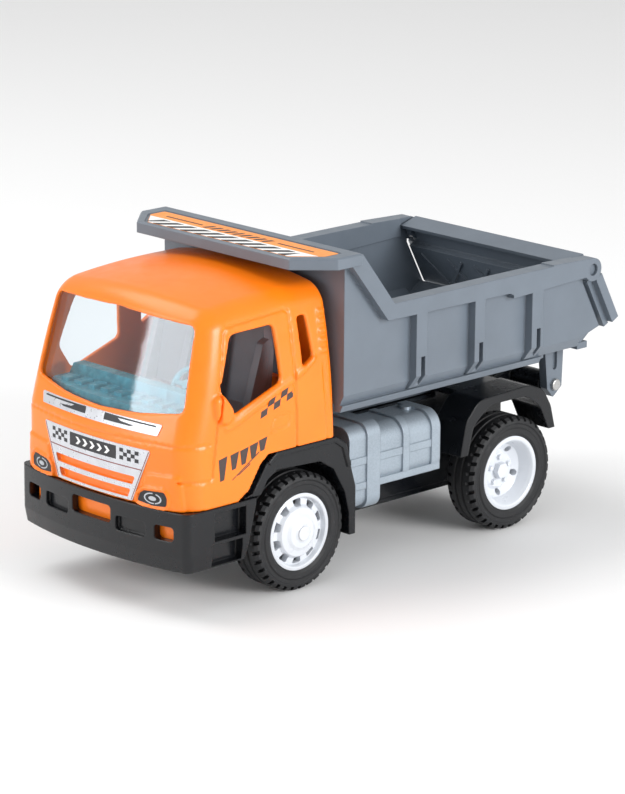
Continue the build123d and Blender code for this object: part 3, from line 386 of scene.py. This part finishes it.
def cab_outside(side, bow, y, z):
    """Field of the cab's outside without details; side is the distance from the middle plane."""
    front = (CAB_FRONT + bow + LEAN * np.maximum(z - BROW_Z, 0) - y) * LEAN_SCALE
    flank = side - (CAB_HALF - FLANK_CURVE * np.maximum(z - FLANK_Z, 0) ** 2)
    crown = ROOF_CROWN * (side / ROOF_CROWN_X) ** 2
    roof = z - (ROOF_Z - ROOF_CURVE * np.maximum(ROOF_BREAK_Y - y, 0) ** 2 - crown)
    rear_y = CAB_REAR - REAR_LEAN * np.clip(z - 45.0, 0, 28.0) - REAR_LEAN_TOP * np.maximum(z - 73.0, 0)
    rear = y - rear_y
    outer = cut_round(front, flank, FACE_EDGE_R)
    outer = cut_round(outer, roof, ROOF_EDGE_R)
    return cut_round(outer, rear, REAR_EDGE_R)


def with_details(plain, side, y, z, side_view, front_view):
    """The outside with its raised details: mirror lugs, belt lines, lamp panels and vents."""
    not_side = FAR * (side < 20)
    not_face = FAR * (y > -82.0)
    lug = cut_round(area_distance(rounded(MIRROR_LUG, 1.5), *side_view), side - 38.4, 1.3)
    outer = join_round(plain, lug, 0.8)
    belt = cut_round(line_distance(BELT_LINE, *side_view) - 0.95, plain - 0.5, 0.35)
    outer = join_round(outer, belt + not_side, 0.4)
    panel = cut_round(area_distance(rounded(LAMP_FIELD, 0.8), *front_view), plain - 0.65, 0.4)
    outer = join_round(outer, panel + not_face, 0.25)
    lamp_edge = np.abs(area_distance(rounded(LAMP, LAMP_R), *front_view) - 0.75) - 0.4
    outer = join_round(outer, cut_round(lamp_edge, plain - 1.35, 0.35) + not_face, 0.15)
    for index in range(VENT_COUNT):
        rib = np.maximum(np.abs(y - VENT_Y) - 1.6, np.abs(z - VENT_Z - VENT_PITCH * index) - 0.75)
        outer = join_round(outer, cut_round(rib, plain - 0.45, 0.3) + not_side, 0.3)
    return outer


def with_openings(shell, side, y, z, side_view, front_view):
    """The shell cut by its windows and wheel arches."""
    pane = area_distance(rounded(WINDSHIELD, 2.0), *front_view) + FAR * (y > -70.0)
    shell = cut_round(shell, -pane, 0.7)
    for outline, radius in ((SIDE_WINDOW, 1.8), (QUARTER_SLOT, 1.2)):
        shell = cut_round(shell, -area_distance(rounded(outline, radius), *side_view), 0.55)
    shell = np.maximum(shell, -area_distance(WHEEL_ARCH, *side_view))
    rear_window = np.maximum(side - 20.0, np.abs(z - 70.0) - 10.0) + FAR * (y < -40.0)
    return cut_round(shell, -rear_window, 0.5)


def with_engraving(shell, plain, side, y, z, side_view):
    """The shell with its seams, brow line, door handles and grille slots cut into the surface."""
    not_side = FAR * (side < 20)
    for line, width, depth in SEAMS:
        seam = np.maximum(line_distance(line, *side_view) - width, -(plain + depth)) + not_side
        shell = np.maximum(shell, -seam)
    brow = np.maximum(np.abs(z - 51.4 - 0.02 * side) - 0.33, -(plain + 0.4)) + FAR * (y > -77.5)
    shell = np.maximum(shell, -brow)
    handle = np.abs(area_distance(rounded(HANDLE, 1.0), *side_view)) - 0.3
    shell = np.maximum(shell, -(np.maximum(handle, -(plain + 0.35)) + not_side))
    for low, high in GRILLE_SLOTS:
        slant = side - (SLOT_HALF + SLOT_SLANT * (z - SLOT_Z))
        slot = cut_round(np.abs(z - (low + high) / 2) - (high - low) / 2, slant, 0.4)
        shell = np.maximum(shell, -(np.maximum(slot, -(plain + 1.0)) + FAR * (y > -82.0)))
    return shell


def cab_field(x, y, z):
    """Signed distance of the moulded cab shell; x, y and z are open grids in millimetres."""
    side = np.abs(x)
    bow = FACE_R - np.sqrt(FACE_R ** 2 - side ** 2)
    side_view = np.broadcast_arrays(y, z)
    front_view = np.broadcast_arrays(side, z)
    plain = cab_outside(side, bow, y, z)
    outer = with_details(plain, side, y, z, side_view, front_view)
    shell = np.maximum(outer, CAB_BOTTOM - z)
    shell = np.maximum(shell, -(plain + CAB_WALL))
    # apron that shows through the bumper's openings
    plate = np.maximum(np.abs(y - (BUMPER_FRONT + bow + APRON_BACK)) - 0.8, side - APRON_HALF)
    shell = join_round(shell, np.maximum(plate, np.maximum(22.0 - z, z - 34.5)), 0.6)
    shell = with_openings(shell, side, y, z, side_view, front_view)
    return with_engraving(shell, plain, side, y, z, side_view)


def net_mesh(field_of, low, high, step):
    """Quad mesh of a field's zero surface: one vertex in each cell that the surface crosses."""
    axes = [np.arange(a, b + step, step, dtype=np.float32) for a, b in zip(low, high)]
    values = np.asarray(field_of(*np.meshgrid(*axes, indexing="ij", sparse=True)), np.float32)
    inner = values < 0
    shape = np.array(values.shape) - 1
    corners = [(a, b, c) for a in (0, 1) for b in (0, 1) for c in (0, 1)]

    def shifted(array, corner):
        return array[tuple(slice(o, o + n) for o, n in zip(corner, shape))]

    count = sum(shifted(inner, corner).astype(np.int8) for corner in corners)
    cells = np.argwhere((count > 0) & (count < 8))
    number = np.full(shape, -1, np.int64)
    number[tuple(cells.T)] = np.arange(len(cells))
    total = np.zeros((len(cells), 3), np.float64)
    hits = np.zeros(len(cells))
    for first in corners:
        for axis in range(3):
            if first[axis]:
                continue
            second = tuple(1 if a == axis else o for a, o in enumerate(first))
            va = values[tuple((cells + first).T)]
            vb = values[tuple((cells + second).T)]
            crossed = (va < 0) != (vb < 0)
            t = np.where(crossed, va / np.where(crossed, va - vb, 1), 0)
            point = np.tile(np.array(first, float), (len(cells), 1))
            point[:, axis] = t
            total += point * crossed[:, None]
            hits += crossed
    verts = np.array([a[0] for a in axes]) + (cells + total / hits[:, None]) * step
    quads = []
    for axis in range(3):
        ahead = tuple(slice(1, None) if a == axis else slice(None) for a in range(3))
        behind = tuple(slice(None, -1) if a == axis else slice(None) for a in range(3))
        change = inner[ahead].astype(np.int8) - inner[behind].astype(np.int8)
        p, q = [a for a in range(3) if a != axis]
        for sign in (-1, 1):
            edges = np.argwhere(change == sign)
            within_p = (edges[:, p] > 0) & (edges[:, p] < shape[p])
            within_q = (edges[:, q] > 0) & (edges[:, q] < shape[q])
            edges = edges[within_p & within_q]
            ring = []
            for dp, dq in ((-1, -1), (0, -1), (0, 0), (-1, 0)):
                cell = edges.copy()
                cell[:, p] += dp
                cell[:, q] += dq
                ring.append(number[tuple(cell.T)])
            if (sign == 1) == (axis != 1):
                ring.reverse()
            quads.append(np.stack(ring, 1))
    return verts, np.concatenate(quads)


def field_piece(name, field_of, low, high, step, material, body):
    """Piece made from a distance field, shaded smooth."""
    verts, quads = net_mesh(field_of, low, high, step)
    data = bpy.data.meshes.new(name)
    data.from_pydata((verts * MM).tolist(), [], quads.tolist())
    data.polygons.foreach_set("use_smooth", [True] * len(quads))
    data.materials.append(material)
    piece = bpy.data.objects.new(name, data)
    bpy.context.scene.collection.objects.link(piece)
    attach(piece, body)
    return piece


cab_body = field_piece("cab_body", cab_field, CAB_LOW, CAB_HIGH, VOXEL, orange, "chassis")
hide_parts("cab_shell")


# ---------------------------------------------------------------- prints that lie on a surface
def tree_of(name):
    """Search tree of a piece's surface, in millimetres."""
    mesh = bpy.data.objects[name].data
    points = [vertex.co / MM for vertex in mesh.vertices]
    return BVHTree.FromPolygons(points, [tuple(polygon.vertices) for polygon in mesh.polygons])


# how a drawing's (u, v), in millimetres, becomes a ray: its start point and its direction
VIEWS = {
    "left": (lambda u, v: Vector((70, u, v)), Vector((-1, 0, 0))),
    "right": (lambda u, v: Vector((-70, u, v)), Vector((1, 0, 0))),
    "front": (lambda u, v: Vector((u, -120, v)), Vector((0, 1, 0))),
    "top": (lambda u, v: Vector((u, v, 140)), Vector((0, 0, -1))),
}


MISS_REACH = 33.0            # how far along a ray that misses the nearest point is looked for


def print_on(name, target, view, outlines, material, body="chassis", lift=0.04, step=1.5):
    """Thin printed patches: flat outlines carried on to a piece's surface."""
    surface = tree_of(target)
    start, direction = VIEWS[view]
    mesh = bmesh.new()
    for outline in outlines:
        mesh.faces.new([mesh.verts.new((u, v, 0)) for u, v in outline])
    low = min(v.co.x for v in mesh.verts)
    high = max(v.co.x for v in mesh.verts)
    for index in range(1, math.ceil((high - low) / step)):
        parts = mesh.verts[:] + mesh.edges[:] + mesh.faces[:]
        bmesh.ops.bisect_plane(mesh, geom=parts, plane_co=(low + index * step, 0, 0), plane_no=(1, 0, 0))
    for vert in mesh.verts:
        origin = start(vert.co.x, vert.co.y)
        hit, _, _, _ = surface.ray_cast(origin, direction)
        if hit is None:
            hit = surface.find_nearest(origin + direction * MISS_REACH)[0]
        vert.co = (hit - direction * lift) * MM
    bmesh.ops.recalc_face_normals(mesh, faces=mesh.faces[:])
    for face in mesh.faces:
        if face.normal.dot(direction) > 0:
            face.normal_flip()
    data = bpy.data.meshes.new(name)
    mesh.to_mesh(data)
    mesh.free()
    data.materials.append(material)
    piece = bpy.data.objects.new(name, data)
    bpy.context.scene.collection.objects.link(piece)
    skin = piece.modifiers.new("thickness", "SOLIDIFY")
    skin.thickness = lift * 1.5 * MM
    skin.offset = -1.0
    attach(piece, body)
    return piece


def slanted_bar(u0, u1, v0, v1, lean=0.0):
    """Parallelogram whose far edge is shifted sideways by lean."""
    return [(u0, v0), (u1, v0), (u1 + lean, v1), (u0 + lean, v1)]


def slash_row(start, pitch, count, low, high, width, lean):
    """Row of equal slashes, pitch apart."""
    lefts = [start + pitch * index for index in range(count)]
    return [slanted_bar(left, left + width, low, high, lean) for left in lefts]


def checks(corner, across, up, columns, rows):
    """Chequered cells from a corner, with the two cell edge vectors."""
    cells = []
    for column in range(columns):
        for row in range(rows):
            if (column + row) % 2:
                continue
            points = [(column, row), (column + 1, row), (column + 1, row + 1), (column, row + 1)]
            cells.append([(corner[0] + across[0] * a + up[0] * b, corner[1] + across[1] * a + up[1] * b)
                          for a, b in points])
    return cells


def oval(centre, across, high, count=20):
    """Closed outline of an ellipse."""
    turns = [math.tau * index / count for index in range(count)]
    return [(centre[0] + across * math.cos(turn), centre[1] + high * math.sin(turn)) for turn in turns]


# -------- headlamps: black lens, silver oval reflector with a dark ring and a bright bulb
LAMP_CENTRE = (24.8, 35.9)
LAMP_LIFT = 0.07             # each layer stands this much higher than the one below
LAMP_LAYERS = [("lens", rounded(LAMP, LAMP_R), lamp_black),
               ("reflector", oval(LAMP_CENTRE, 3.2, 1.65), chrome),
               ("ring", oval(LAMP_CENTRE, 2.65, 1.3), lamp_black),
               ("bulb", oval(LAMP_CENTRE, 1.4, 0.65), chrome)]
for side, sign in (("left", 1), ("right", -1)):
    for level, (part, outline, material) in enumerate(LAMP_LAYERS, 1):
        drawn = [(sign * u, v) for u, v in outline]
        lift = LAMP_LIFT * level
        piece = print_on(f"lamp_{part}_{side}", "cab_body", "front", [drawn], material, lift=lift)
        if part == "lens":
            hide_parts(f"headlight_{side}")

# -------- strip under the windshield: a thin line over a tapered bar, on both sides
NOSE_LINE = [(24.4, 56.75), (24.4, 57.2), (4.2, 57.55), (4.2, 57.0)]
NOSE_BAR = [(16.4, 55.9), (14.8, 55.5), (4.1, 55.5), (4.1, 57.0), (9.5, 57.0), (11.0, 56.3)]
nose_marks = []
for sign in (-1, 1):
    for outline in (NOSE_LINE, NOSE_BAR):
        nose_marks.append([(sign * u, v) for u, v in outline])
print_on("nose_print", "nose_sticker", "front", nose_marks, black_ink)

# -------- grille label: chequers, a plate with chevrons, and thin lines
GRILLE_CELL = (1.5, 1.15)
CHEVRON = [(0, 0), (1.1, 0), (2.3, 1.1), (1.1, 2.2), (0, 2.2), (1.2, 1.1)]
EDGE_LINE = [(16.4, 33.9), (16.15, 33.9), (22.8, 49.3), (23.1, 49.3)]
grille_marks = [slanted_bar(-10.3, 10.3, 44.9, 48.9)]
for start in (-19.2, 11.7):
    grille_marks += checks((start, 45.2), (GRILLE_CELL[0], 0), (0, GRILLE_CELL[1]), 5, 3)
print_on("grille_print", "grille_sticker", "front", grille_marks, black_ink)
chevrons = [[(u - 7.4 + 3.2 * index, v + 45.8) for u, v in CHEVRON] for index in range(5)]
print_on("grille_chevrons", "grille_sticker", "front", chevrons, foil_white, lift=0.12)
grille_lines = [slanted_bar(-20.2, 20.2, 43.3, 43.6)]
grille_lines += [[(sign * u, v) for u, v in EDGE_LINE] for sign in (-1, 1)]
print_on("grille_lines", "grille_sticker", "front", grille_lines, line_ink)

# -------- door print: chequers, slanted bars and two thin strokes
DOOR_BARS = [(-74.8, 47.0, 6.6), (-70.2, 47.6, 4.6), (-66.4, 48.2, 4.4), (-62.6, 49.0, 4.0),
             (-59.0, 49.9, 3.4)]    # y and z of the upper front corner, and the height
door_marks = checks((-58.4, 56.3), (2.6, 0.85), (0.35, 2.1), 5, 2)
for y, z, tall in DOOR_BARS:
    door_marks.append([(y + 0.6, z - tall), (y + 2.2, z - tall + 0.3), (y + 3.4, z + 0.7), (y, z)])
door_marks.append([(-69.7, 40.0), (-69.2, 40.0), (-58.8, 46.3), (-58.9, 46.7)])
door_marks.append([(-67.4, 41.0), (-66.9, 41.0), (-62.3, 43.4), (-62.5, 43.8)])
for side in ("left", "right"):
    print_on(f"door_print_{side}", "cab_body", side, door_marks, door_ink, step=2.0)

# -------- canopy label: hazard stripes in front, two bars and a row of slashes behind
WHOLE = 80                   # step larger than the flat label, so that its prints are not sliced
CANOPY_BAND = [(-30.6, -41.8), (30.6, -41.8), (36.9, -35.4), (-36.9, -35.4)]
STRIPE_LOW, STRIPE_HIGH = -33.0, 30.4
stripes = slash_row(-34.6, 6.1, 11, -41.8, -36.6, 3.0, 5.2)
stripes = [[(min(STRIPE_HIGH, max(STRIPE_LOW, u)), v) for u, v in outline] for outline in stripes]
bars = [slanted_bar(u0, u1, -32.9, -32.2) for u0, u1 in ((-32.6, -16.4), (16.8, 32.0))]
bars += slash_row(-14.6, 3.2, 9, -34.4, -31.2, 1.5, 1.5)
CANOPY_PRINTS = [("canopy_white", [CANOPY_BAND], foil_white, 0.04),
                 ("canopy_hazard", stripes, black_ink, 0.1),
                 ("canopy_bars", bars, black_ink, 0.05)]
for name, outlines, material, lift in CANOPY_PRINTS:
    print_on(name, "canopy_sticker", "top", outlines, material, body="bed", lift=lift, step=WHOLE)

# ---------------------------------------------------------------- floor, lights and camera (metres)
FLOOR_HALF, FLOOR_DROP = 6.0, 0.00005
FLOOR_PALE, FLOOR_PALER = (0.86, 0.86, 0.86, 1.0), (0.89, 0.89, 0.89, 1.0)
floor_mesh = bpy.data.meshes.new("floor")
corners = [(x * FLOOR_HALF, y * FLOOR_HALF, -FLOOR_DROP) for x, y in ((-1, -1), (1, -1), (1, 1), (-1, 1))]
floor_mesh.from_pydata(corners, [], [(0, 1, 2, 3)])
floor = bpy.data.objects.new("floor", floor_mesh)
bpy.context.scene.collection.objects.link(floor)
floor_look = Graph("pale_floor")
pale = floor_look.mix(floor_look.noise(400.0, 2.0), FLOOR_PALE, FLOOR_PALER)
floor_mesh.materials.append(floor_look.finish(floor_look.principled(pale, 0.7)))

SKY_STRENGTH = 0.66
world = bpy.data.worlds.new("studio")
bpy.context.scene.world = world
world.use_nodes = True
sky = world.node_tree.nodes["Background"]
sky.inputs["Color"].default_value = (1.0, 1.0, 1.0, 1.0)
sky.inputs["Strength"].default_value = SKY_STRENGTH


def softbox(name, place, aim, size, power):
    """Large soft area light that points at a spot on the truck."""
    lamp = bpy.data.lights.new(name, "AREA")
    lamp.shape = "RECTANGLE"
    lamp.size, lamp.size_y = size
    lamp.energy = power
    holder = bpy.data.objects.new(name, lamp)
    holder.location = place
    holder.rotation_mode = "QUATERNION"
    holder.rotation_quaternion = (Vector(aim) - Vector(place)).to_track_quat("-Z", "Y")
    bpy.context.scene.collection.objects.link(holder)


TRUCK_MIDDLE = (0.0, 0.0, 0.05)
softbox("top_key", (-0.5, -0.3, 1.0), TRUCK_MIDDLE, (0.7, 0.7), 5.0)
softbox("front_left", (-0.5, -1.1, 0.5), TRUCK_MIDDLE, (0.5, 0.7), 6.0)
softbox("right_fill", (1.2, 0.2, 0.45), TRUCK_MIDDLE, (0.6, 0.6), 14.0)

# camera solved for the viewing angle: where it stands, and its right and up directions
LENS_MM, SENSOR_MM = 167.42, 36.0
CAMERA_PLACE = (0.789344, -0.762424, 0.345679)
CAMERA_RIGHT = Vector((0.69244, 0.72144, 0.00708))
CAMERA_UP = Vector((-0.19559, 0.17827, 0.96435))
camera_data = bpy.data.cameras.new("camera")
camera_data.sensor_width = SENSOR_MM
camera_data.sensor_fit = "AUTO"
camera_data.lens = LENS_MM
camera_data.clip_start, camera_data.clip_end = 0.01, 20.0
camera = bpy.data.objects.new("camera", camera_data)
bpy.context.scene.collection.objects.link(camera)
turn = Matrix((CAMERA_RIGHT, CAMERA_UP, CAMERA_RIGHT.cross(CAMERA_UP))).transposed().to_4x4()
camera.matrix_world = Matrix.Translation(CAMERA_PLACE) @ turn
bpy.context.scene.camera = camera
bpy.context.scene.view_settings.view_transform = "Standard"
